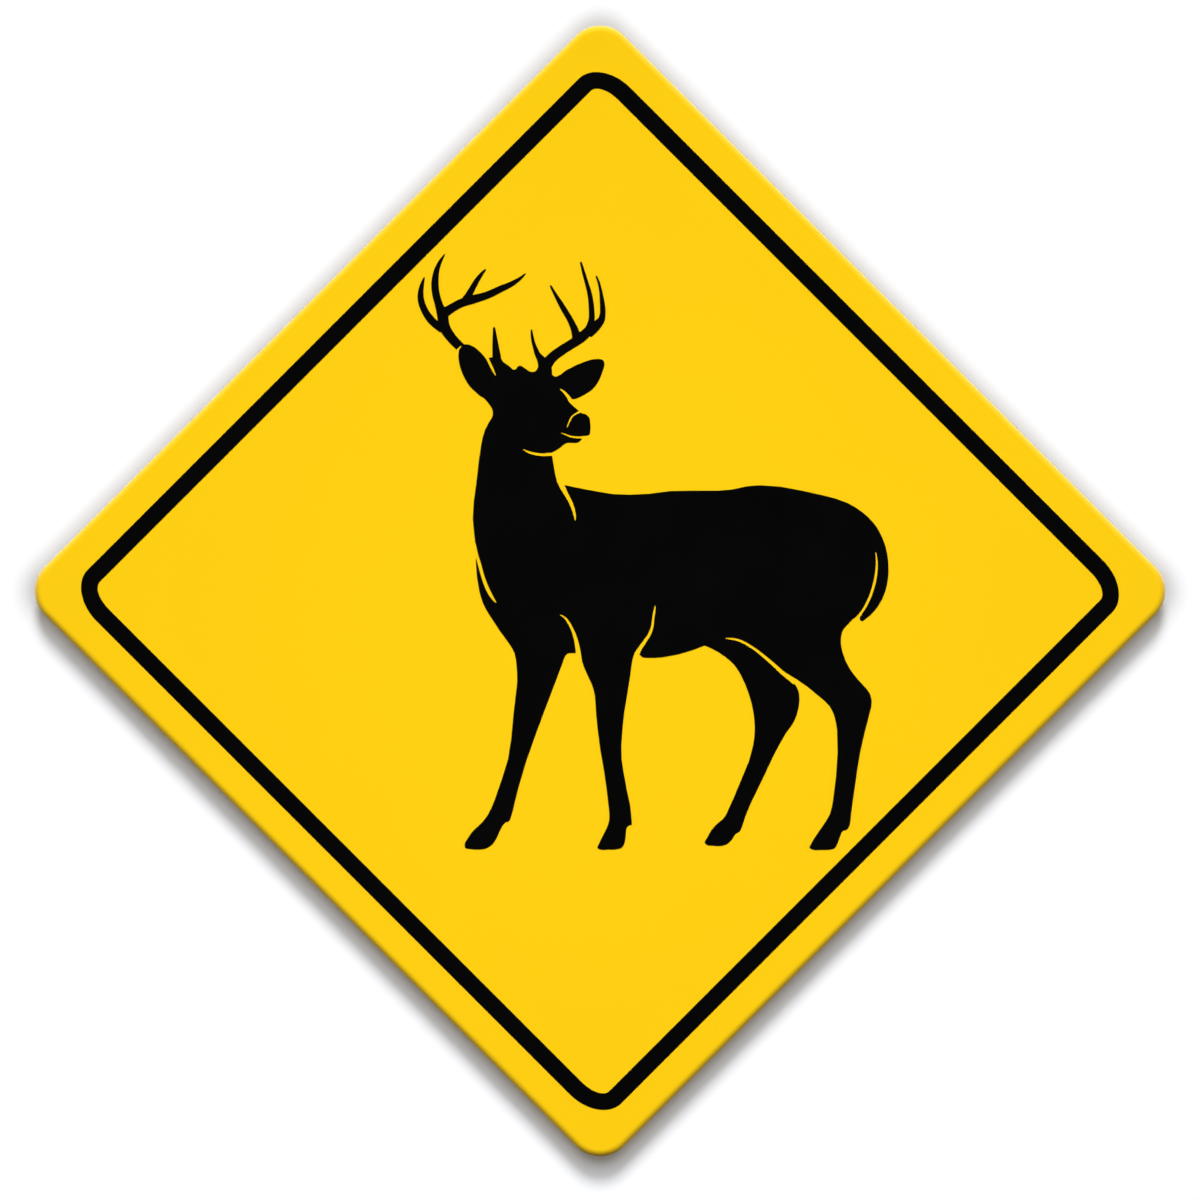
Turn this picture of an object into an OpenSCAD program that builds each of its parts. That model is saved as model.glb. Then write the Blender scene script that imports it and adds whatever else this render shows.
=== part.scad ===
// Deer crossing sign: a yellow square panel that stands on one corner, with a black border line
// and a black standing deer cut from thin film on its front.
// The origin is the centre of the panel's back face. The front looks along -Y and +Z is up.

/* [Panel] */
// Length of one side of the square
side = 305; // [250:1:460]
// Thickness of the sheet
thickness = 3; // [2:0.1:6]
// Radius of the four corners
corner_r = 12.7; // [6:0.1:30]
// Radius to which the front edge is rolled over
front_round = 2.6; // [0.5:0.1:5]
// Width of the break along the back edge
back_break = 0.3; // [0.1:0.05:1]

/* [Border line] */
// Plain yellow margin between the panel's edge and the line
margin = 12.2; // [8:0.1:20]
// Width of the line
line_w = 6.35; // [3:0.05:12]
// Radius of the line's oval corners along the upper right and lower left sides
corner_long = 16; // [8:0.1:30]
// Radius of the same corners along the upper left and lower right sides
corner_short = 11.2; // [8:0.1:30]

/* [Deer figure] */
// Space left between the border line and the tip that reaches nearest to it
figure_gap = 4.6; // [3:0.1:20]
// Slide of the figure towards the panel's upper right side
figure_slide = 0; // [-20:0.5:20]
// Thickness of the black film of the figure and the line
film_t = 0.1; // [0.05:0.01:0.3]

/* [Hidden] */
sign_yellow = "#FFCE15";
film_black = "#050505";

// Facets that a full turn has in the edge's rounding and in the panel's corners
edge_facets = 64;
corner_facets = 96;
// Turn that a curve may make between two of its drawn points, in degrees
turn_step = 8;
// Steps between two stations of a stroke, and directions of the points round its far end
stroke_steps = 4;
cap_angles = [-60, -20, 20, 60];
// Steps in each oval corner of the border line
oval_steps = 20;
// Smallest radius left inside the border line's corners
least_round = 0.5;

// Half widths of the square, of the line's outside and of its inside
half = side / 2;
line_outer = half - margin;
line_inner = line_outer - line_w;
edge_round = min(front_round, thickness - back_break);

// Reach of the drawn figure from the middle towards the upper left and the lower right side,
// and the factor that makes it fit inside the border line
antler_reach = max([for (station = antler_beam()) station.y - station.x]) / sqrt(2);
hoof_reach = max([for (point = trunk_outline()) point.x - point.y]) / sqrt(2);
fit = (line_inner - figure_gap) / max(antler_reach, hoof_reach);

// Curves through points: a third value of 1 makes a point a sharp corner
function around(points, i) = points[(i + len(points)) % len(points)];
function place(points, i) = [around(points, i).x, around(points, i).y];
function is_sharp(points, i) = around(points, i)[2] == 1;
function angle_between(u, v) = abs(atan2(cross(u, v), u * v));

// Direction in which a smooth curve passes a point, from the chords on both sides of it
function heading(back, ahead) =
    let (
        back_run = norm([back.x, back.y]),
        ahead_run = norm([ahead.x, ahead.y])
    )
    (back * ahead_run / back_run + ahead * back_run / ahead_run) / (back_run + ahead_run);

// Point on the cubic curve that leaves one point and arrives at the next in given directions
function between(from, to, leave, arrive, t) =
    (2 * t ^ 3 - 3 * t ^ 2 + 1) * from + (t ^ 3 - 2 * t ^ 2 + t) * leave
    + (3 * t ^ 2 - 2 * t ^ 3) * to + (t ^ 3 - t ^ 2) * arrive;

function passing(points, i) =
    heading(place(points, i) - place(points, i - 1), place(points, i + 1) - place(points, i));

// One stretch of a closed outline, without its last point
function stretch(points, i) =
    let (
        from = place(points, i),
        to = place(points, i + 1),
        run = norm(to - from),
        chord = (to - from) / run,
        sharp_from = is_sharp(points, i),
        sharp_to = is_sharp(points, i + 1),
        leave = !sharp_from ? passing(points, i)
            : sharp_to ? chord : (3 * chord - passing(points, i + 1)) / 2,
        arrive = !sharp_to ? passing(points, i + 1)
            : sharp_from ? chord : (3 * chord - passing(points, i)) / 2,
        turn = angle_between(leave, chord) + angle_between(chord, arrive),
        steps = max(1, ceil(turn / turn_step))
    )
    [for (k = [0 : steps - 1]) between(from, to, run * leave, run * arrive, k / steps)];

function outline(points) = [for (i = [0 : len(points) - 1]) each stretch(points, i)];

// A closed part of the figure, from points in millimetres at its drawn size, anticlockwise
module shape(points) polygon(fit * outline(points));

// Strokes: each station is [x, z, width], from the root to the tip
function chord_run(from, to) = norm([to.x - from.x, to.y - from.y]);

function stroke_heading(stations, i) =
    i == 0 ? (stations[1] - stations[0]) / chord_run(stations[0], stations[1])
    : i == len(stations) - 1 ? (stations[i] - stations[i - 1]) / chord_run(stations[i - 1], stations[i])
    : heading(stations[i] - stations[i - 1], stations[i + 1] - stations[i]);

function stroke_line(stations) = [
    for (i = [0 : len(stations) - 2], k = [0 : stroke_steps - 1])
        let (run = chord_run(stations[i], stations[i + 1]))
        between(stations[i], stations[i + 1], run * stroke_heading(stations, i),
            run * stroke_heading(stations, i + 1), k / stroke_steps),
    stations[len(stations) - 1]
];

function along(line, i) =
    let (
        last = len(line) - 1,
        way = line[min(i + 1, last)] - line[max(i - 1, 0)]
    )
    [way.x, way.y] / norm([way.x, way.y]);

// Point on one edge of the stroke: hand is 1 on the left of its way and -1 on the right
function beside(line, i, hand) =
    let (way = along(line, i)) [line[i].x, line[i].y] + hand * line[i].z / 2 * [-way.y, way.x];

// Outline of a stroke that widens and narrows, with a round far end
function stroke_outline(stations) =
    let (
        line = stroke_line(stations),
        last = len(line) - 1,
        way = along(line, last),
        tip = [line[last].x, line[last].y],
        tip_r = line[last].z / 2
    )
    [
        for (i = [0 : last]) beside(line, i, -1),
        for (a = cap_angles) tip + tip_r * (cos(a) * way + sin(a) * [-way.y, way.x]),
        for (i = [last : -1 : 0]) beside(line, i, 1)
    ];

module stroke(stations) polygon(fit * stroke_outline(stations));

// The front face, on which the films lie
module on_front(depth)
    translate([0, -thickness, 0]) rotate([90, 0, 0]) linear_extrude(depth) children();

// Section of the panel's edge, from the middle of a corner outwards
module edge_section() {
    flat_w = corner_r - edge_round;
    translate([flat_w, thickness - edge_round]) intersection() {
        circle(r = edge_round, $fn = edge_facets);
        square(edge_round);
    }
    square([flat_w, thickness]);
    difference() {
        square([corner_r, thickness - edge_round]);
        polygon([[corner_r - back_break, 0], [corner_r, 0], [corner_r, back_break]]);
    }
}

module panel() {
    reach = half - corner_r;
    color(sign_yellow) rotate([90, 45, 0]) {
        translate([-reach, -reach, 0]) cube([2 * reach, 2 * reach, thickness]);
        for (turn = [0 : 90 : 270]) rotate(turn) translate([reach, reach, 0]) {
            rotate_extrude(angle = 90, $fn = corner_facets) edge_section();
            rotate([90, 0, 0]) linear_extrude(2 * reach) edge_section();
        }
    }
}

// Square of a given half width with oval corners
module oval_square(half_w, along_x, along_y)
    polygon([
        for (turn = [0 : 3], k = [0 : oval_steps])
            let (
                a = 90 * (turn + k / oval_steps),
                side_x = (turn == 0 || turn == 3) ? 1 : -1,
                side_y = turn < 2 ? 1 : -1
            )
            [side_x * (half_w - along_x) + along_x * cos(a), side_y * (half_w - along_y) + along_y * sin(a)]
    ]);

module border_line() {
    inner_short = max(corner_short - line_w, least_round);
    inner_long = max(corner_long - line_w, least_round);
    color(film_black) on_front(film_t) rotate(45) difference() {
        oval_square(line_outer, corner_short, corner_long);
        oval_square(line_inner, inner_short, inner_long);
    }
}

// Main beam of the left antler, whose tip reaches nearest to the upper left side
function antler_beam() =
    [[-51.4, 90.2, 3.4], [-54.9, 93.7, 3.6], [-57.8, 98.2, 4.1], [-58.6, 102.6, 4],
        [-59.9, 106.5, 3], [-61, 110.5, 2.85], [-61.3, 115, 2.7], [-60.7, 119, 2.05],
        [-59.4, 122.4, 1.3], [-57.8, 125, 0.5]];

module left_antler() {
    stroke(antler_beam());
    // outer tine
    stroke([[-58.5, 97.2, 3], [-62.5, 100.4, 2.9], [-65.2, 104.3, 2.6], [-66.6, 108.5, 2.4],
        [-66.5, 112, 1.9], [-65.8, 115, 1.1], [-65.3, 116.4, 0.5]]);
    // inner tine
    stroke([[-58.6, 102.8, 4], [-55.4, 104.9, 3.3], [-52, 106.8, 3.2], [-47, 108.4, 3.2],
        [-42, 109.9, 2.8], [-37, 112.2, 2.5], [-32, 114.6, 1.8], [-29.5, 116.3, 1.1],
        [-27.8, 117.8, 0.5]]);
    // short tine that forks up from it
    stroke([[-50.2, 107.5, 3.4], [-48.5, 110.4, 2.6], [-47.2, 112.9, 2.2], [-45.4, 115.9, 1.8],
        [-43.6, 118.3, 1.1], [-42.6, 119.4, 0.6]]);
}

module right_antler() {
    // root and brow tine
    stroke([[-20.5, 79, 5.2], [-20.6, 83, 5], [-21.9, 86, 3.1], [-23.2, 88, 2.1],
        [-24, 90, 1.7], [-24.65, 92, 1.35], [-25.25, 95, 1], [-25.45, 96.9, 0.6]]);
    // main beam and its second tine
    stroke([[-20.6, 83.3, 4.6], [-17.5, 87, 3.7], [-14, 89.6, 3.6], [-10.5, 91.8, 3.5],
        [-6.9, 94.3, 3.8], [-4.1, 97.2, 3.3], [-3.1, 101, 2.3], [-3.15, 105, 2.1],
        [-3.75, 110, 1.75], [-5.1, 115, 1.4], [-6.1, 118.5, 1.2], [-7.1, 122, 0.8]]);
    // short tine
    stroke([[-8.4, 93, 3.6], [-9.4, 97, 2.8], [-10.7, 100, 2.3], [-13.6, 105, 2.1],
        [-16.5, 110, 1.35], [-18.3, 113.3, 0.7]]);
    // outer tine
    stroke([[-4.5, 95.4, 3.4], [-1.4, 98.6, 3.6], [0.6, 101, 2.6], [1, 103, 2.15],
        [0.98, 105.5, 2.0], [0.75, 108, 1.7], [0.15, 112, 1.1], [-0.5, 114.7, 0.9], [-1.35, 116.9, 0.6]]);
}

module left_ear()
    shape([[-51.3, 91.4], [-52.1, 90], [-52.6, 87.8], [-52.4, 85], [-51.6, 82], [-50, 78.5], [-48.4, 76],
        [-46.2, 73.9], [-43.8, 72], [-40, 72, 1], [-39, 78, 1], [-39.8, 81.4], [-41.1, 84],
        [-42.4, 86.3], [-44, 88.3], [-46, 90.1], [-48, 91.3], [-50.2, 91.7]]);

module right_ear()
    shape([[-16, 75.6, 1], [-13.2, 74.4], [-11.4, 72.6], [-10.2, 71.2, 1], [-9, 71.4], [-6.8, 72.4],
        [-4, 74], [-1.8, 76], [0, 79], [1.2, 82.3], [1.65, 84.7], [1.2, 85.7], [-0.2, 86.2],
        [-2.5, 86.1], [-5.5, 85.3], [-9, 83.9], [-12.6, 82], [-15.3, 80.1], [-16.7, 79.7],
        [-17.6, 80.2], [-18.3, 81.5, 1], [-20, 80, 1]]);

module head() {
    // skull, face, nose and lower jaw
    shape([[-37, 70, 1], [-37, 60, 1], [-30, 51, 1], [-18, 51.4, 1], [-16, 52.4], [-14.6, 53.4],
        [-13.3, 54.5], [-12, 55.05], [-10, 55], [-8.4, 55.1], [-7.2, 55.9], [-6.6, 56.85, 1],
        [-8, 57.4, 1], [-4.8, 57.75, 1], [-4, 58.05], [-3.6, 59.5], [-3.55, 62], [-3.85, 64.3, 1],
        [-5.2, 65.6], [-7, 66.2], [-7.8, 66.9, 1], [-10, 68.8], [-11.6, 70.4], [-12.6, 72.6],
        [-14.6, 75.2, 1], [-18, 79, 1], [-22, 85, 1], [-23.1, 83], [-23.9, 81.8], [-25.3, 81.4],
        [-26.8, 82], [-28.5, 83.2], [-29.8, 83.8], [-30.5, 83.5], [-31.4, 82.4], [-32.2, 82.3],
        [-33.1, 83], [-34.4, 84.1], [-35.9, 85.1], [-36.7, 86.3], [-37.5, 87.5, 1], [-40, 86.9, 1],
        [-41.7, 86.6, 1], [-42.5, 80, 1]]);
    // left brow tine
    stroke([[-37.8, 82, 4], [-38.4, 87, 3.2], [-38.8, 91, 2.4], [-39.15, 95, 1.5], [-39.35, 97.8, 0.8]]);
}

// Neck, chest and the foreleg that steps forward
module front()
    shape([[-44.8, 73, 1], [-43, 71.5], [-41.2, 69.4], [-40, 67.3], [-39.9, 65.2], [-41.2, 62.8],
        [-42.8, 59.8], [-44.2, 54], [-45.1, 48], [-46, 40], [-46.9, 33.5], [-47.3, 27], [-46.8, 21.5],
        [-46.2, 16.5], [-46.1, 11], [-45.8, 5.5], [-44.9, 0.2], [-43.4, -4.8], [-40.6, -9.7], [-37.1, -15],
        [-33.5, -20], [-31.8, -23], [-31, -28], [-30.8, -34], [-31.5, -40], [-32.3, -47], [-33, -55],
        [-34.2, -62.5], [-36.5, -70], [-39.1, -77.5], [-41.6, -83], [-44.3, -86.5], [-47.1, -89],
        [-49, -91.7], [-50.3, -94.2], [-50.1, -95.4], [-48, -95.95], [-45, -96.1], [-42.3, -95.7],
        [-40, -94.2], [-38, -91], [-36.4, -87.5], [-35.2, -86.1], [-33.9, -85.6], [-33, -83.8],
        [-31.8, -79], [-30, -72], [-27.3, -63], [-24.5, -55], [-20.8, -45], [-17, -35], [-14, -27],
        [-12.9, -24.2], [-12.2, -23.4], [-11.2, -23.1, 1], [-8, -23.1, 1], [0, -12, 1], [0, 25, 1],
        [-9.5, 30, 1], [-13, 35.3], [-15.9, 40.4], [-17, 45.5], [-17.8, 50.3, 1], [-28, 54, 1],
        [-38, 77, 1]]);

// Back, rump, tail, belly and near hind leg, whose hoof reaches nearest to the lower right side
function trunk_outline() =
    [[-10.2, 33], [-8.5, 28, 1], [-10, 0, 1], [12, -18, 1], [14.5, -23.3], [15.6, -24.5],
        [18, -24.9], [23, -24.7], [29, -23.6], [34.5, -22], [38, -20.6], [42, -19.4, 1], [50, -17, 1],
        [69, -30.3, 1], [73.5, -33.1], [77, -35.5], [81.6, -39.3], [85.3, -42.8], [87.1, -46.5],
        [88.1, -52], [88.3, -60], [87.7, -69], [86.6, -77.5], [85.4, -83], [83.9, -85.6], [80.9, -90],
        [78.4, -94], [77.9, -95.4], [79, -96.15], [82, -96.25], [85.2, -96.2], [86.9, -95.8],
        [88.2, -94], [89.3, -91], [90.3, -89.2], [91.8, -88.7], [92.7, -87.2], [93.3, -83],
        [94.4, -75], [95.7, -66], [96.9, -59], [98.5, -52], [100.2, -45.5], [101, -41.2],
        [100.2, -38], [98.1, -35.3], [95.5, -32.5], [92.6, -28.5], [90.2, -23], [89.5, -18.5],
        [90.2, -14.8], [92.3, -12.2], [95, -9.8], [96.6, -9.4, 1], [96.5, -10.5], [97.2, -11.2],
        [99, -10.2], [102, -7.4], [104.9, -3], [106.7, 2.5], [107.25, 8], [106.7, 14], [105, 19.7],
        [102, 24.9], [97.5, 29.3], [92, 32.7], [84, 35.3], [75, 37.3], [67, 38.8], [60, 39.3],
        [54, 38.8], [49, 37.7], [44, 37.3], [34, 37.3], [26, 37.15], [18, 36.1], [11, 35.8], [5, 36],
        [0, 36.8], [-5, 37.7], [-10, 38.7], [-13.4, 39.4, 1]];

module trunk() shape(trunk_outline());

module second_foreleg()
    shape([[-9, -16, 1], [-7.2, -22.5], [-6.7, -26], [-5, -30.5], [-3, -34.8], [-1.9, -39], [-1.5, -45],
        [-0.9, -51.5], [0.1, -59], [1.5, -67], [2.5, -74], [3.3, -81], [3.45, -85], [2.5, -88],
        [0.9, -91.2], [-0.4, -93.9], [-0.9, -95.6], [0.2, -96.15], [3, -96.15], [6, -96.05], [8.2, -95.3],
        [9.1, -93.8], [9.6, -90.5], [10, -88], [10.6, -87.3], [11.9, -86.9, 1], [11.6, -83], [11.2, -79.5],
        [10.1, -74.5], [8.9, -68], [8.05, -62.5], [7.95, -57.5], [8.4, -51], [9.1, -44.5], [10.2, -38],
        [11.3, -31], [11.9, -26.5], [12.8, -23.2], [16, -18, 1], [14, 0, 1], [-6, -4, 1]]);

module far_hind_leg()
    shape([[34, -14, 1], [37.5, -19.7, 1], [41.5, -21.4], [46, -24.1], [50, -27.6], [52.7, -32], [55.2, -38],
        [56.9, -44.5], [57.5, -51], [56.9, -57.3], [55.4, -63], [52.5, -70], [49.8, -76.5], [47.4, -81.9],
        [45.8, -84.6], [43.6, -86.4], [41.4, -88.8], [39.9, -91.5], [38.95, -93.7], [39.7, -94.4],
        [42, -94.7], [45, -94.8], [47.3, -94], [49.2, -92.2], [50.4, -90.3], [51.8, -89.5], [52.8, -87.6],
        [54, -83.8], [55.8, -79.4], [58.6, -73.6], [61.3, -68], [64.1, -62], [66.8, -56.8], [69.2, -52.6],
        [71.5, -49.6], [73.1, -46], [74.05, -41.5], [73.9, -37.8], [72.7, -35], [70.3, -33.1],
        [66, -24, 1], [50, -10, 1]]);

// Thin gaps in the film that draw the folds of the body
module folds() {
    // left ear, and the nick above it
    stroke([[-42.6, 88, 1], [-41.6, 86, 0.95], [-40.7, 84, 0.9], [-39.7, 82, 0.8], [-38.9, 80.3, 0.35]]);
    stroke([[-53.5, 88.5, 1.2], [-52.5, 90, 0.7], [-51.7, 91, 0.35]]);
    // right ear
    stroke([[-9.7, 69.6, 1.4], [-11.3, 71.4, 0.9], [-12.8, 73.2, 0.75], [-14.7, 75, 0.4]]);
    // nose
    stroke([[-6.6, 67, 1], [-8.8, 66, 0.65], [-10.3, 64.9, 0.55], [-11.3, 63.2, 0.55], [-12.2, 60.9, 0.3]]);
    // mouth
    stroke([[-5, 57.2, 0.8], [-8.5, 57.1, 0.75], [-11, 57.45, 0.6], [-12.8, 58.15, 0.5],
        [-14.3, 58.7, 0.3]]);
    // jaw
    stroke([[-16.4, 50.8, 1.2], [-19, 50.7, 1], [-21.5, 50.65, 1], [-24, 50.95, 0.95], [-26.2, 51.5, 0.8],
        [-28.4, 52.5, 0.35]]);
    // shoulder
    stroke([[-14.9, 40.9, 1.8], [-12.3, 35.7, 1.3], [-10.5, 31.6, 1], [-9.4, 28.2, 0.85],
        [-9.2, 26.4, 0.4]]);
    // chest
    stroke([[-46.8, 17.6, 1.2], [-45.9, 13.8, 1.1], [-44.7, 9.6, 1.2], [-43.4, 5, 1.2], [-41.4, 0, 1.3],
        [-39.9, -2.6, 1], [-38.7, -4.2, 0.4]]);
    // forelegs
    stroke([[-8, -24.4, 1.9], [-8.2, -22, 1.7], [-8.9, -18.5, 1.4], [-10, -15, 1.1], [-11.5, -12, 0.9],
        [-13.1, -9.9, 0.7], [-14.7, -8.9, 0.35]]);
    // elbow
    stroke([[13.6, -23.6, 1.9], [14.7, -21.6, 1.5], [16.6, -18.8, 1.25], [18.4, -16, 1.05],
        [19.4, -13.2, 0.9], [19.8, -10, 0.8], [20.2, -7.5, 0.7], [20.5, -5.6, 0.35]]);
    // thigh
    stroke([[72.5, -34, 1.9], [70.5, -32.4, 1.7], [68, -30.5, 1.5], [65, -27.8, 1.3], [62, -25.2, 1.15],
        [59, -22.7, 1], [56, -20.6, 0.95], [53, -18.9, 0.9], [50, -17.9, 0.8], [46.8, -17.6, 0.35]]);
    // tail
    stroke([[95.5, -10.2, 1.4], [97.3, -7.8, 0.85], [98.9, -5.2, 0.9], [100.2, -2.5, 0.95],
        [101.3, 0.6, 0.95], [102.3, 4.6, 0.9], [102.8, 8.5, 0.8], [102.8, 11.8, 0.6], [102.5, 14.2, 0.35]]);
}

module deer_figure() {
    slide = figure_slide / sqrt(2);
    color(film_black) on_front(film_t) translate([slide, slide]) difference() {
        union() {
            left_antler();
            right_antler();
            left_ear();
            right_ear();
            head();
            front();
            trunk();
            second_foreleg();
            far_hind_leg();
        }
        folds();
    }
}

panel();
border_line();
deer_figure();
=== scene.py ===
# %% [markdown]
# A deer crossing sign
# The real object is a square sheet of aluminium that stands on one corner. Its front and its edges
# wear a yellow coat, and a black border line and a black deer are cut from thin film and laid on it.
# The solids fix every size and place, and this lesson gives each surface its real finish.

# %% Load the solids
import math

import bpy
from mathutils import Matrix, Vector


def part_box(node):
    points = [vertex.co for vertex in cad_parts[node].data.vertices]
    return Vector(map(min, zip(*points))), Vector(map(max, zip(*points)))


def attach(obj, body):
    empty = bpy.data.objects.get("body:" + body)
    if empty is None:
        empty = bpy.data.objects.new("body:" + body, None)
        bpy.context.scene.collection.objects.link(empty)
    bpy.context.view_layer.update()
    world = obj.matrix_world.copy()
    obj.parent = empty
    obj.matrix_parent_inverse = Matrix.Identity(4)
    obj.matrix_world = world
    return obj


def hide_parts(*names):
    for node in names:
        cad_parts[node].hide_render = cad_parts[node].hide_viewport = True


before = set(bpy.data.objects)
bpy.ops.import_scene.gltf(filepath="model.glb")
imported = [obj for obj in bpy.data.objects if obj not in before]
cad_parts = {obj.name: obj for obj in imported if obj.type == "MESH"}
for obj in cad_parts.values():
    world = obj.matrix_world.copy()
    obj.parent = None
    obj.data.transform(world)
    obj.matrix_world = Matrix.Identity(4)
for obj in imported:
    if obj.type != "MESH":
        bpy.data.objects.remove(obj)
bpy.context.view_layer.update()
print("Solids:", sorted(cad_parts))

# %% [markdown]
# A sheet like this is told by a few sizes: its side, its thickness, the round of its corners and the
# roll of its front edge. They could be copied as plain numbers, but two of them are read from the
# solid, so the looks can't drift from the construction. The square stands on one corner, so it
# reaches half its diagonal less what the round corner cuts off, and from that comes the side.

# %% Read the sizes
MM = 0.001
CORNER_RADIUS = 12.7 * MM
FRONT_RADIUS = 2.6 * MM
BACK_BREAK = 0.3 * MM

panel_low, panel_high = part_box("panel")
thickness = panel_high.y - panel_low.y
side = math.sqrt(2) * (panel_high.x - CORNER_RADIUS) + 2 * CORNER_RADIUS
print(f"Side {side / MM:.1f} mm, sheet {thickness / MM:.1f} mm thick")

# %% [markdown]
# Node trees grow long when each node takes several lines, and they are hard to follow as clicks in
# an editor. One helper adds a node, sets its options and fills or joins its inputs, so that a tree
# reads from top to bottom like a recipe.

# %% A helper for every node tree
def put(tree, kind, inputs=None, **options):
    """Adds a node: options are its settings, inputs maps a socket to a value, a node or a socket."""
    made = tree.nodes.new(kind)
    for option, value in options.items():
        setattr(made, option, value)
    for key, value in (inputs or {}).items():
        socket = made.inputs[key]
        if isinstance(value, bpy.types.Node):
            tree.links.new(value.outputs[0], socket)
        elif isinstance(value, bpy.types.NodeSocket):
            tree.links.new(value, socket)
        else:
            socket.default_value = value
    return made


# %% [markdown]
# Colours are easiest to pick as sRGB hex values, but Blender's sockets take linear light. Patterns
# are easiest to judge as millimetres, but a texture's Scale counts cells in a metre. Two small
# functions turn the first into the second, so that every finish can be written in plain units.

# %% Colours and pattern sizes
def linear(hex_colour):
    """The linear colour, with alpha, of an sRGB colour such as #FFCE15."""
    shares = [int(hex_colour[i:i + 2], 16) / 255 for i in (1, 3, 5)]
    return [s / 12.92 if s <= 0.04045 else ((s + 0.055) / 1.055) ** 2.4 for s in shares] + [1.0]


def waves_of(size_mm):
    """Scale of a pattern on Object coordinates whose cells are that many millimetres across."""
    return 1 / (size_mm * MM)


print("A 3 mm pattern has Scale", round(waves_of(3)))

# %% [markdown]
# A finish starts as an empty material with one Principled shader, and each one adds its patterns.
# They could follow a UV map, but a flat sheet doesn't need one. Object coordinates are metres in the
# frame of the solids, so a pattern on them has its true size and stays on the sheet from every side.

# %% A helper for every finish
PAINT_IOR = 1.5


def new_finish(name):
    """A new material, its node tree and its shader."""
    finish = bpy.data.materials.new(name)
    finish.use_nodes = True
    tree = finish.node_tree
    tree.nodes.clear()
    shader = put(tree, "ShaderNodeBsdfPrincipled")
    put(tree, "ShaderNodeOutputMaterial", {"Surface": shader})
    return finish, tree, shader


# %% [markdown]
# The yellow is a polyester powder, sprayed dry and stoved until it flows. It gives the eye one even,
# warm colour with a satin gloss, and a faint orange peel breaks up its highlights a little. A flat
# colour would look like plastic foil, so three noises share the work: one drifts the colour, one the
# gloss, and one is the peel. A real peel has waves of about a millimetre. These are 3 mm, so that
# they show from this far.

# %% Yellow powder coat
COAT_LIGHT = "#F6C713"
COAT_DEEP = "#F3C511"
COAT_CLOUD_MM = 70
GLOSS_CLOUD_MM = 18
PEEL_MM = 3
PEEL_HEIGHT = 0.03 * MM
COAT_GLOSSIEST = 0.2
COAT_DULLEST = 0.28


def yellow_powder_coat():
    finish, tree, shader = new_finish("yellow_powder_coat")
    where = put(tree, "ShaderNodeTexCoord").outputs["Object"]
    cloud = put(tree, "ShaderNodeTexNoise",
                {"Vector": where, "Scale": waves_of(COAT_CLOUD_MM), "Detail": 2.0})
    colour = put(tree, "ShaderNodeMix", {"Factor": cloud, 6: linear(COAT_DEEP), 7: linear(COAT_LIGHT)},
                 data_type="RGBA")
    gloss = put(tree, "ShaderNodeTexNoise",
                {"Vector": where, "Scale": waves_of(GLOSS_CLOUD_MM), "Detail": 3.0})
    roughness = put(tree, "ShaderNodeMapRange",
                    {"Value": gloss, "To Min": COAT_GLOSSIEST, "To Max": COAT_DULLEST})
    peel = put(tree, "ShaderNodeTexNoise", {"Vector": where, "Scale": waves_of(PEEL_MM), "Detail": 1.5})
    bump = put(tree, "ShaderNodeBump", {"Height": peel, "Strength": 0.5, "Distance": PEEL_HEIGHT})
    tree.links.new(colour.outputs[2], shader.inputs["Base Color"])
    tree.links.new(roughness.outputs[0], shader.inputs["Roughness"])
    tree.links.new(bump.outputs[0], shader.inputs["Normal"])
    shader.inputs["IOR"].default_value = PAINT_IOR
    return finish


coat = yellow_powder_coat()
print(f"{coat.name}: {len(coat.node_tree.nodes)} nodes")

# %% [markdown]
# The back is the sheet as the rolling mill left it. Rolling draws fine lines along the sheet, which
# give the eye a silky grey that smears reflections. The square was sheared parallel to them, so the
# pattern is turned by 45 degrees and stretched along one side. Brushing could be an anisotropic
# shader, but noise that is drawn out 180 times also shows the single lines. Real lines are about a
# tenth of a millimetre wide. These are 0.5 mm, so that they show.

# %% The rolled metal
MILL_LIGHT = "#DADCDD"
MILL_DARK = "#BFC2C4"
GRAIN_MM = (90, 90, 0.5)
BAND_MM = (400, 400, 9)
GRAIN_HEIGHT = 0.01 * MM
DARKEST_SUM = 0.6
LIGHTEST_SUM = 1.4


def rolled_metal(tree, square_on):
    """The colour and the fine lines of rolled sheet, on coordinates turned square to its sides."""
    fine = put(tree, "ShaderNodeMapping",
               {"Vector": square_on, "Scale": [waves_of(size) for size in GRAIN_MM]})
    grain = put(tree, "ShaderNodeTexNoise", {"Vector": fine, "Scale": 1.0, "Detail": 4.0})
    broad = put(tree, "ShaderNodeMapping",
                {"Vector": square_on, "Scale": [waves_of(size) for size in BAND_MM]})
    bands = put(tree, "ShaderNodeTexNoise", {"Vector": broad, "Scale": 1.0, "Detail": 2.0})
    both = put(tree, "ShaderNodeMath", {0: grain, 1: bands}, operation="ADD")
    tone = put(tree, "ShaderNodeMapRange",
               {"Value": both, "From Min": DARKEST_SUM, "From Max": LIGHTEST_SUM})
    metal = put(tree, "ShaderNodeMix", {"Factor": tone, 6: linear(MILL_DARK), 7: linear(MILL_LIGHT)},
                data_type="RGBA")
    return metal.outputs[2], grain


print(f"Lines {GRAIN_MM[2]} mm wide and {GRAIN_MM[0]} mm long")

# %% [markdown]
# Powder that is sprayed at the front drifts round the edge. On the back it is dense at the very rim
# and thins out to single grains within a few millimetres. It could be painted by hand, but a ramp
# from the rim inward gives the density and a fine noise the grains, and where their sum is high
# enough there is powder. Real powder is finer than a tenth of a millimetre, and its grains are drawn
# 0.9 mm wide, so that they show. The ramp has to follow the round corners. Past the square on which
# the corner circles have their centres, the distance from it grows to the corner radius at the rim.

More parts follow.
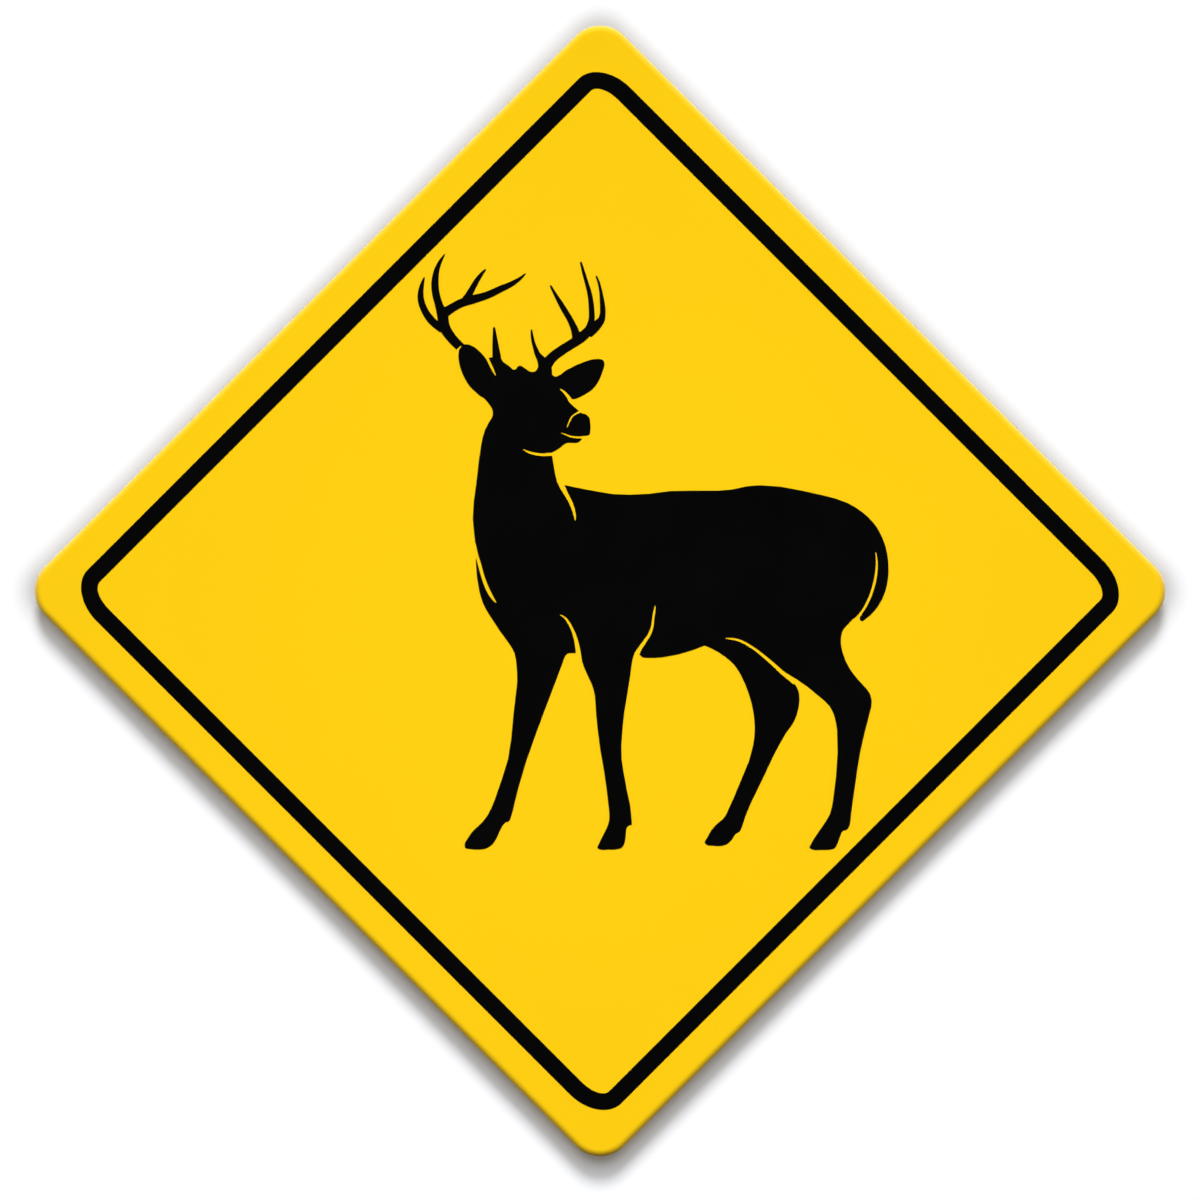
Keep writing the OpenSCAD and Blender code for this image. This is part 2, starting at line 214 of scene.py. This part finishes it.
# %% The overspray at the rim
OVERSPRAY = 9 * MM
SOLID_RIM = 0.5 * MM
POWDER_GRAIN_MM = 0.9
BARE_BELOW = 1.02
COATED_ABOVE = 1.22


def overspray(tree, where, square_on):
    """How much powder lies on the back, from 0 for bare metal to 1 for a closed coat."""
    centre_line = side / 2 - CORNER_RADIUS
    quarter = put(tree, "ShaderNodeVectorMath", {0: square_on}, operation="ABSOLUTE")
    past = put(tree, "ShaderNodeVectorMath", {0: quarter, 1: [centre_line] * 3}, operation="SUBTRACT")
    outside = put(tree, "ShaderNodeVectorMath", {0: past, 1: (0, 0, 0)}, operation="MAXIMUM")
    outward = put(tree, "ShaderNodeVectorMath", {0: outside}, operation="LENGTH")
    density = put(tree, "ShaderNodeMapRange", {"Value": outward.outputs["Value"],
                                               "From Min": CORNER_RADIUS - OVERSPRAY,
                                               "From Max": CORNER_RADIUS - SOLID_RIM})
    grains = put(tree, "ShaderNodeTexNoise",
                 {"Vector": where, "Scale": waves_of(POWDER_GRAIN_MM), "Detail": 3.0})
    amount = put(tree, "ShaderNodeMath", {0: density, 1: grains}, operation="ADD")
    return put(tree, "ShaderNodeMapRange", {"Value": amount, "From Min": BARE_BELOW,
                                            "From Max": COATED_ABOVE}, interpolation_type="SMOOTHSTEP")


print(f"Overspray up to {OVERSPRAY / MM:.0f} mm from the rim")

# %% [markdown]
# Metal and powder share one material, because the drift has no sharp end. The powder turns the
# colour yellow and the surface from metal to paint. The metal keeps Blender's own IOR, since its
# colour already says how it reflects. The roughness of mill finish lies between a mirror and frost.

# %% Mill-finish aluminium
MILL_GLOSSIEST = 0.3
MILL_DULLEST = 0.46


def mill_finish_aluminium():
    finish, tree, shader = new_finish("mill_finish_aluminium")
    where = put(tree, "ShaderNodeTexCoord").outputs["Object"]
    square_on = put(tree, "ShaderNodeMapping", {"Vector": where, "Rotation": (0, math.radians(45), 0)})
    metal, grain = rolled_metal(tree, square_on)
    powder = overspray(tree, where, square_on)
    colour = put(tree, "ShaderNodeMix", {"Factor": powder, 6: metal, 7: linear(COAT_DEEP)},
                 data_type="RGBA")
    metallic = put(tree, "ShaderNodeMath", {0: 1.0, 1: powder}, operation="SUBTRACT")
    roughness = put(tree, "ShaderNodeMapRange",
                    {"Value": grain, "To Min": MILL_GLOSSIEST, "To Max": MILL_DULLEST})
    bump = put(tree, "ShaderNodeBump", {"Height": grain, "Strength": 0.6, "Distance": GRAIN_HEIGHT})
    tree.links.new(colour.outputs[2], shader.inputs["Base Color"])
    tree.links.new(metallic.outputs[0], shader.inputs["Metallic"])
    tree.links.new(roughness.outputs[0], shader.inputs["Roughness"])
    tree.links.new(bump.outputs[0], shader.inputs["Normal"])
    return finish


bare = mill_finish_aluminium()
print(f"{bare.name}: {len(bare.node_tree.nodes)} nodes")

# %% [markdown]
# The black is a cast vinyl film, a tenth of a millimetre thick. It gives the eye a black that is
# nearly as dark as print can be, and only a soft sheen shows that it is a surface of its own. Paint
# would be another way to make it, but the line and the deer have edges as crisp as a knife's cut.
# The grain of real film is too fine to show, so it is drawn 1.6 mm wide.

# %% Black vinyl film
VINYL_BLACK = "#030303"
VINYL_WORN = "#060606"
SHEEN_CLOUD_MM = 25
FILM_GRAIN_MM = 1.6
FILM_GRAIN_HEIGHT = 0.015 * MM
FILM_GLOSSIEST = 0.26
FILM_DULLEST = 0.34


def black_vinyl_film():
    finish, tree, shader = new_finish("black_vinyl_film")
    where = put(tree, "ShaderNodeTexCoord").outputs["Object"]
    cloud = put(tree, "ShaderNodeTexNoise",
                {"Vector": where, "Scale": waves_of(SHEEN_CLOUD_MM), "Detail": 3.0})
    colour = put(tree, "ShaderNodeMix", {"Factor": cloud, 6: linear(VINYL_BLACK), 7: linear(VINYL_WORN)},
                 data_type="RGBA")
    roughness = put(tree, "ShaderNodeMapRange",
                    {"Value": cloud, "To Min": FILM_GLOSSIEST, "To Max": FILM_DULLEST})
    grain = put(tree, "ShaderNodeTexNoise",
                {"Vector": where, "Scale": waves_of(FILM_GRAIN_MM), "Detail": 2.0})
    bump = put(tree, "ShaderNodeBump",
               {"Height": grain, "Strength": 0.4, "Distance": FILM_GRAIN_HEIGHT})
    tree.links.new(colour.outputs[2], shader.inputs["Base Color"])
    tree.links.new(roughness.outputs[0], shader.inputs["Roughness"])
    tree.links.new(bump.outputs[0], shader.inputs["Normal"])
    shader.inputs["IOR"].default_value = PAINT_IOR
    return finish


film = black_vinyl_film()
print(f"{film.name}: {len(film.node_tree.nodes)} nodes")

# %% [markdown]
# The panel follows a rule: one profile runs round a square with round corners. It could be a bevelled
# box, but Geometry Nodes say the rule itself, and each size is a named input that can be changed. The
# outline is a rectangle of curves with its corners filleted, and it is used three times.

# %% A tree with named inputs and a rounded outline
def new_tree(name, sockets):
    """A Geometry Nodes tree with named inputs, each given as name: socket type."""
    tree = bpy.data.node_groups.new(name, "GeometryNodeTree")
    for socket_name, kind in sockets.items():
        tree.interface.new_socket(socket_name, in_out="INPUT", socket_type=kind)
    tree.interface.new_socket("Geometry", in_out="OUTPUT", socket_type="NodeSocketGeometry")
    return tree, tree.nodes.new("NodeGroupInput").outputs


def rounded_outline(tree, width, radius, steps):
    """A closed square of curves with round corners."""
    square = put(tree, "GeometryNodeCurvePrimitiveQuadrilateral", {"Width": width, "Height": width})
    return put(tree, "GeometryNodeFilletCurve",
               {"Curve": square, "Radius": radius, "Count": steps, "Limit Radius": True}, mode="POLY")


# %% [markdown]
# The profile is the section through the sheet's edge. A shear leaves a small break at the back, and
# the press rolls the front over in a quarter circle that almost eats up the thickness. X points out
# of the sheet and minus Y is the height above the back. A short flat land ends the profile, so that
# the smooth shading of the roll doesn't spill over the flat front.

# %% The profile of the edge
def edge_profile(tree, given):
    """The lines and the arc of the section, from the flat front to the back."""
    minus = {name: put(tree, "ShaderNodeMath", {0: 0.0, 1: given[name]}, operation="SUBTRACT")
             for name in ("Thickness", "Front Radius", "Back Break")}
    roll_height = put(tree, "ShaderNodeMath", {0: given["Front Radius"], 1: minus["Thickness"]},
                      operation="ADD")
    land_reach = put(tree, "ShaderNodeMath", {0: minus["Front Radius"], 1: given["Front Land"]},
                     operation="SUBTRACT")
    places = {"land": (land_reach, minus["Thickness"]),
              "front": (minus["Front Radius"], minus["Thickness"]),
              "roll": (minus["Front Radius"], roll_height), "wall": (0.0, roll_height),
              "edge": (0.0, minus["Back Break"]), "back": (minus["Back Break"], 0.0)}
    points = {name: put(tree, "ShaderNodeCombineXYZ", {"X": x, "Y": y}) for name, (x, y) in places.items()}
    profile = put(tree, "GeometryNodeJoinGeometry")
    for start, end in (("front", "land"), ("edge", "wall"), ("back", "edge")):
        line = put(tree, "GeometryNodeCurvePrimitiveLine", {"Start": points[start], "End": points[end]})
        tree.links.new(line.outputs[0], profile.inputs[0])
    arc = put(tree, "GeometryNodeCurveArc",
              {"Resolution": given["Roll Steps"], "Radius": given["Front Radius"],
               "Start Angle": 0.0, "Sweep Angle": math.radians(-90)}, mode="RADIUS")
    roll = put(tree, "GeometryNodeTransform", {"Geometry": arc, "Translation": points["roll"]})
    tree.links.new(roll.outputs[0], profile.inputs[0])
    return profile


# %% [markdown]
# A swept profile is a ring, open at the front and at the back. The same outline, drawn smaller by
# what the profile takes up, is filled and lifted to close each side with one flat face. An n-gon is
# right for a sheet that is truly flat, because it adds no edges that could catch the light.

# %% The flat faces
def flat_face(tree, given, inset, height):
    """A filled outline, that much smaller all round and that high above the back."""
    width = put(tree, "ShaderNodeMath", {0: inset, 1: -2.0, 2: given["Side"]}, operation="MULTIPLY_ADD")
    radius = put(tree, "ShaderNodeMath", {0: given["Corner Radius"], 1: inset}, operation="SUBTRACT")
    outline = rounded_outline(tree, width, radius, given["Corner Steps"])
    filled = put(tree, "GeometryNodeFillCurve", {"Curve": outline}, mode="NGONS")
    lift = put(tree, "ShaderNodeCombineXYZ", {"Z": height})
    return put(tree, "GeometryNodeTransform", {"Geometry": filled, "Translation": lift})


# %% [markdown]
# The sheet is the swept edge and two flat faces. Their rims are merged, so that the mesh is closed.
# It is made lying on its back, which keeps the profile simple, then turned onto its corner and stood
# up. The sweep and the back face look inwards at first, and Flip Faces turns them outwards.

# %% The closed sheet
MERGE_WITHIN = 0.08 * MM


def standing_sheet(tree, given):
    """The closed mesh of the sheet, on its corner and upright."""
    outline = rounded_outline(tree, given["Side"], given["Corner Radius"], given["Corner Steps"])
    profile = edge_profile(tree, given)
    swept = put(tree, "GeometryNodeCurveToMesh", {"Curve": outline, "Profile Curve": profile})
    edge = put(tree, "GeometryNodeFlipFaces", {"Mesh": swept})
    front_inset = put(tree, "ShaderNodeMath", {0: given["Front Radius"], 1: given["Front Land"]},
                      operation="ADD")
    front = flat_face(tree, given, front_inset, given["Thickness"])
    back = put(tree, "GeometryNodeFlipFaces", {"Mesh": flat_face(tree, given, given["Back Break"], 0.0)})
    joined = put(tree, "GeometryNodeJoinGeometry")
    for piece in (back, front, edge):
        tree.links.new(piece.outputs[0], joined.inputs[0])
    merged = put(tree, "GeometryNodeMergeByDistance", {"Geometry": joined, "Distance": MERGE_WITHIN})
    on_corner = put(tree, "GeometryNodeTransform",
                    {"Geometry": merged, "Rotation": (0, 0, math.radians(45))})
    return put(tree, "GeometryNodeTransform",
               {"Geometry": on_corner, "Rotation": (math.radians(90), 0, 0)})


# %% [markdown]
# One mesh wears two finishes. The back could be picked by hand, but its normal tells it apart: only
# there does it look straight backwards. Those faces get the bare metal and stay flat, and all others
# get the coat and smooth shading. The tree ends in Realize Instances and Set Material, because an
# export drops instances and needs its materials on the mesh.

# %% Two finishes on one mesh
STRAIGHT_BACK = 0.99


def finished_sheet(tree, given, sheet):
    """The sheet with its shading and its materials."""
    facing = put(tree, "GeometryNodeInputNormal")
    rearward = put(tree, "ShaderNodeVectorMath", {0: facing, 1: (0, 1, 0)}, operation="DOT_PRODUCT")
    is_back = put(tree, "FunctionNodeCompare", {0: rearward.outputs["Value"], 1: STRAIGHT_BACK},
                  data_type="FLOAT", operation="GREATER_THAN")
    not_back = put(tree, "FunctionNodeBooleanMath", {0: is_back}, operation="NOT")
    smooth = put(tree, "GeometryNodeSetShadeSmooth", {"Geometry": sheet, "Shade Smooth": not_back})
    realized = put(tree, "GeometryNodeRealizeInstances", {"Geometry": smooth})
    coated = put(tree, "GeometryNodeSetMaterial", {"Geometry": realized, "Material": given["Coat"]})
    return put(tree, "GeometryNodeSetMaterial",
               {"Geometry": coated, "Selection": is_back, "Material": given["Bare Metal"]})


# %% [markdown]
# With its parts at hand the tree itself is short. Its inputs are the sizes of the sheet, the number
# of steps in each round and the two finishes, so that another sign needs other values and no new tree.

# %% The tree of the panel
def panel_tree():
    length, count, finish = "NodeSocketFloat", "NodeSocketInt", "NodeSocketMaterial"
    tree, given = new_tree("rolled_edge_panel", {
        "Side": length, "Thickness": length, "Corner Radius": length, "Front Radius": length,
        "Front Land": length, "Back Break": length, "Corner Steps": count, "Roll Steps": count,
        "Coat": finish, "Bare Metal": finish})
    sheet = standing_sheet(tree, given)
    put(tree, "NodeGroupOutput", {0: finished_sheet(tree, given, sheet)})
    return tree


rolled_edge_panel = panel_tree()
print(f"{rolled_edge_panel.name}: {len(rolled_edge_panel.nodes)} nodes")

# %% [markdown]
# A modifier runs the tree on a seed object, and its inputs are set by their sockets' identifiers
# before anything is evaluated. A live modifier could stay, but a plain mesh is what a later tool can
# count on. The evaluated result is copied into one, and the seed goes away with its modifier. The
# sheet has no finish until Set Material, which leaves an empty slot behind, so that one is taken out.

# %% Run a tree and keep its mesh
def grown(name, tree, values):
    """A new object with the plain mesh that the tree makes from these values of its inputs."""
    seed = bpy.data.objects.new(name + "_seed", bpy.data.meshes.new(name + "_seed"))
    bpy.context.scene.collection.objects.link(seed)
    modifier = seed.modifiers.new("grow", "NODES")
    modifier.node_group = tree
    for item in tree.interface.items_tree:
        if item.in_out == "INPUT":
            modifier[item.identifier] = values[item.name]
    depsgraph = bpy.context.evaluated_depsgraph_get()
    mesh = bpy.data.meshes.new_from_object(seed.evaluated_get(depsgraph))
    mesh.name = name
    empty_slots = [i for i, finish in enumerate(mesh.materials) if finish is None]
    for index in reversed(empty_slots):
        mesh.materials.pop(index=index)
    bpy.data.objects.remove(seed)
    piece = bpy.data.objects.new(name, mesh)
    bpy.context.scene.collection.objects.link(piece)
    print(f"{name}: {len(mesh.vertices)} points, {len(mesh.polygons)} faces")
    return piece


# %% [markdown]
# The solid of the panel already has the right shape, but its mesh is loose triangles with one flat
# normal each. The grown panel has the same sizes with a finer roll and smooth normals, and its back is
# a face of its own that can wear bare metal. So it stands in for the solid.

# %% Grow the panel
FRONT_LAND = 0.3 * MM
CORNER_STEPS = 24
ROLL_STEPS = 17

panel = grown("sign_panel", rolled_edge_panel, {
    "Side": side, "Thickness": thickness, "Corner Radius": CORNER_RADIUS, "Front Radius": FRONT_RADIUS,
    "Front Land": FRONT_LAND, "Back Break": BACK_BREAK, "Corner Steps": CORNER_STEPS,
    "Roll Steps": ROLL_STEPS, "Coat": coat, "Bare Metal": bare})
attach(panel, "root")
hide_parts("panel")
print("Panel reaches", [round(reach / MM, 2) for reach in panel.dimensions], "mm")

# %% [markdown]
# The border line and the deer are flat cuts of film, and their solids have exactly that shape: an
# outline with a thickness. Nothing about them has to be modelled again. Each keeps its mesh and only
# gets the finish of the film.

# %% Dress the films
for node_name in ("border_line", "deer_figure"):
    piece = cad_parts[node_name]
    piece.data.materials.clear()
    piece.data.materials.append(film)
    print(f"{node_name}: {len(piece.data.polygons)} faces in {film.name}")

# %% [markdown]
# The sign hangs a little in front of a white wall, which catches its soft shadow. A plain sheet does
# for the wall, with one trick: its back is clear, so the sign can also be looked at from behind.
# Neither wall nor floor shows in other surfaces or casts a shadow, so they can't tint the metal.
# The paint is a touch cool, because the coat's warm light would turn the shadow brown.

# %% Wall and floor
WALL_GAP = 8 * MM
WALL_HALF = 0.6
WALL_TOP = 0.7
FLOOR_HALF = 4.0
FLOOR_Z = -0.3
WALL_PAINT = "#F9FAFD"
FLOOR_PAINT = "#E8E8E8"
CHALKY = 0.9


def stage_paint(name, hex_colour):
    """An even, dull paint, its node tree and its shader."""
    finish, tree, shader = new_finish(name)
    shader.inputs["Base Color"].default_value = linear(hex_colour)
    shader.inputs["Roughness"].default_value = CHALKY
    return finish, tree, shader


def stage_sheet(name, corners, finish):
    """A flat sheet of the stage that only the camera sees."""
    mesh = bpy.data.meshes.new(name)
    mesh.from_pydata(corners, [], [range(len(corners))])
    mesh.materials.append(finish)
    made = bpy.data.objects.new(name, mesh)
    bpy.context.scene.collection.objects.link(made)
    for ray in ("visible_diffuse", "visible_glossy", "visible_shadow"):
        setattr(made, ray, False)


wall_paint, tree, shader = stage_paint("wall_paint", WALL_PAINT)
seen_from = put(tree, "ShaderNodeNewGeometry")
clear = put(tree, "ShaderNodeBsdfTransparent")
one_sided = put(tree, "ShaderNodeMixShader", {0: seen_from.outputs["Backfacing"], 1: shader, 2: clear})
tree.links.new(one_sided.outputs[0], tree.nodes["Material Output"].inputs["Surface"])
floor_paint = stage_paint("floor_paint", FLOOR_PAINT)[0]

stage_sheet("wall", [(-WALL_HALF, WALL_GAP, FLOOR_Z), (WALL_HALF, WALL_GAP, FLOOR_Z),
                     (WALL_HALF, WALL_GAP, WALL_TOP), (-WALL_HALF, WALL_GAP, WALL_TOP)], wall_paint)
stage_sheet("floor", [(-FLOOR_HALF, -FLOOR_HALF, FLOOR_Z), (FLOOR_HALF, -FLOOR_HALF, FLOOR_Z),
                      (FLOOR_HALF, FLOOR_HALF, FLOOR_Z), (-FLOOR_HALF, FLOOR_HALF, FLOOR_Z)], floor_paint)
print(f"Wall {WALL_GAP / MM:.0f} mm behind the sheet")

# %% [markdown]
# Three lights share the work. A wide soft bulb close to the front lets the shadow spread out a
# little on every side. A bulb grows weaker with distance, which would leave the corners dim, so its
# falloff is constant. A key light from above pulls the shadow down and darkens the lower edges, and
# a top light grazes the upper ones. None of them shows in reflections, so the black stays black, and
# none is looked for by bounced rays as well, which would only add grain.

# %% Lights
BULB_PLACE = (0, -0.36, -0.01)


def place_light(name, kind, energy, turn, **settings):
    """A light that reflections don't show; turn 0 shines straight down, 90 straight at the front."""
    data = bpy.data.lights.new(name, kind)
    data.energy = energy
    for setting, value in settings.items():
        setattr(data, setting, value)
    data.cycles.use_multiple_importance_sampling = False
    made = bpy.data.objects.new(name, data)
    bpy.context.scene.collection.objects.link(made)
    made.rotation_euler.x = math.radians(turn)
    made.visible_glossy = False
    made.visible_camera = False
    print(f"{name}: {kind.lower()} light of {energy}")
    return made


bulb = place_light("front_bulb", "POINT", energy=21.2, turn=0, shadow_soft_size=0.17)
bulb.location = BULB_PLACE
bulb.data.use_nodes = True
falloff = put(bulb.data.node_tree, "ShaderNodeLightFalloff", {"Strength": 1.0})
bulb.data.node_tree.links.new(falloff.outputs["Constant"],
                              bulb.data.node_tree.nodes["Emission"].inputs["Strength"])
place_light("key", "SUN", energy=2.2, turn=41.0, angle=math.radians(18))
place_light("top", "SUN", energy=0.4, turn=-6, angle=math.radians(8))

# %% [markdown]
# The world is what the surfaces reflect. It is black straight ahead, where the camera stands, and
# grows brighter to the sides and upwards. Behind the sign it is a bright curtain for the bare metal.
# The curtain is dimmer in its middle, or the rim would mirror it as a white line at the front.
# Only a ray's first bounce sees the curtain, or its light would also fill the shadow on the wall.
# The world counts as one step more, so a first bounce that reaches it has a Ray Depth of 2.
# Each ramp below is an axis, the two places on it that it runs between, and the light at each. They
# are broad, so the world needs no map of its bright spots, and its sampling stays off.

# %% World
GLOWS = {"sides": (("Y", -0.85, -0.5, 0.0, 1.0), ("Z", -1.0, 1.0, 0.1, 0.9)),
         "curtain": (("Y", 0.1, 0.5, 0.0, 1.0), ("Z", -0.6, 0.0, 0.0, 0.85))}
BEYOND_FIRST_BOUNCE = 2.5
MIDDLE_STARTS = 0.6
MIDDLE_LIGHT = 0.35
SEEN_BY_CAMERA = 0.9

world = bpy.data.worlds.new("studio")
bpy.context.scene.world = world
world.use_nodes = True
world.cycles.sampling_method = "NONE"
tree = world.node_tree
tree.nodes.clear()
way = put(tree, "ShaderNodeSeparateXYZ", {"Vector": put(tree, "ShaderNodeTexCoord").outputs["Generated"]})
rays = put(tree, "ShaderNodeLightPath").outputs
glow = {}
for name, ramps in GLOWS.items():
    across, upward = [put(tree, "ShaderNodeMapRange",
                          {"Value": way.outputs[axis], "From Min": start, "From Max": stop,
                           "To Min": low, "To Max": high}, interpolation_type="SMOOTHSTEP")
                      for axis, start, stop, low, high in ramps]
    glow[name] = put(tree, "ShaderNodeMath", {0: across, 1: upward}, operation="MULTIPLY")
first_bounce = put(tree, "ShaderNodeMath", {0: rays["Ray Depth"], 1: BEYOND_FIRST_BOUNCE},
                   operation="LESS_THAN")
both = put(tree, "ShaderNodeMath", {0: glow["curtain"], 1: first_bounce, 2: glow["sides"]},
           operation="MULTIPLY_ADD")
middle = put(tree, "ShaderNodeMapRange", {"Value": way.outputs["Y"], "From Min": MIDDLE_STARTS,
                                          "From Max": 1.0, "To Min": 1.0, "To Max": MIDDLE_LIGHT},
             interpolation_type="SMOOTHSTEP")
light = put(tree, "ShaderNodeMath", {0: both, 1: middle}, operation="MULTIPLY")
level = put(tree, "ShaderNodeMix", {"Factor": rays["Is Camera Ray"], 2: light, 3: SEEN_BY_CAMERA})
sky = put(tree, "ShaderNodeBackground", {"Color": (1, 1, 1, 1), "Strength": level})
put(tree, "ShaderNodeOutputWorld", {"Surface": sky})
print("World:", ", ".join(GLOWS))

# %% [markdown]
# The photograph looks straight at the front and shows no perspective, so the lens is very long and
# the camera far away. The panel's side is a known share of the photograph's width, which gives the
# width that the view must take in, and with the lens it gives the distance. The panel sits a little
# above the photograph's middle, so the camera stands that much lower.

# %% Camera
PHOTO_PIXELS = 1200
SIDE_PIXELS = 820
VIEW_DROP = 3.35 * MM
LENS_MM = 300.0

camera_data = bpy.data.cameras.new("camera")
camera_data.lens = LENS_MM
camera = bpy.data.objects.new("camera", camera_data)
bpy.context.scene.collection.objects.link(camera)
view_width = side * PHOTO_PIXELS / SIDE_PIXELS
distance = view_width * LENS_MM / camera_data.sensor_width
camera.location = (0, panel_low.y - distance, -VIEW_DROP)
camera.rotation_euler.x = math.radians(90)
bpy.context.scene.camera = camera
bpy.context.scene.view_settings.view_transform = "Standard"
print(f"Camera {distance:.2f} m away")

# %% [markdown]
# The looks must not change the object's size.

# %% Finish
print("Scene ready")
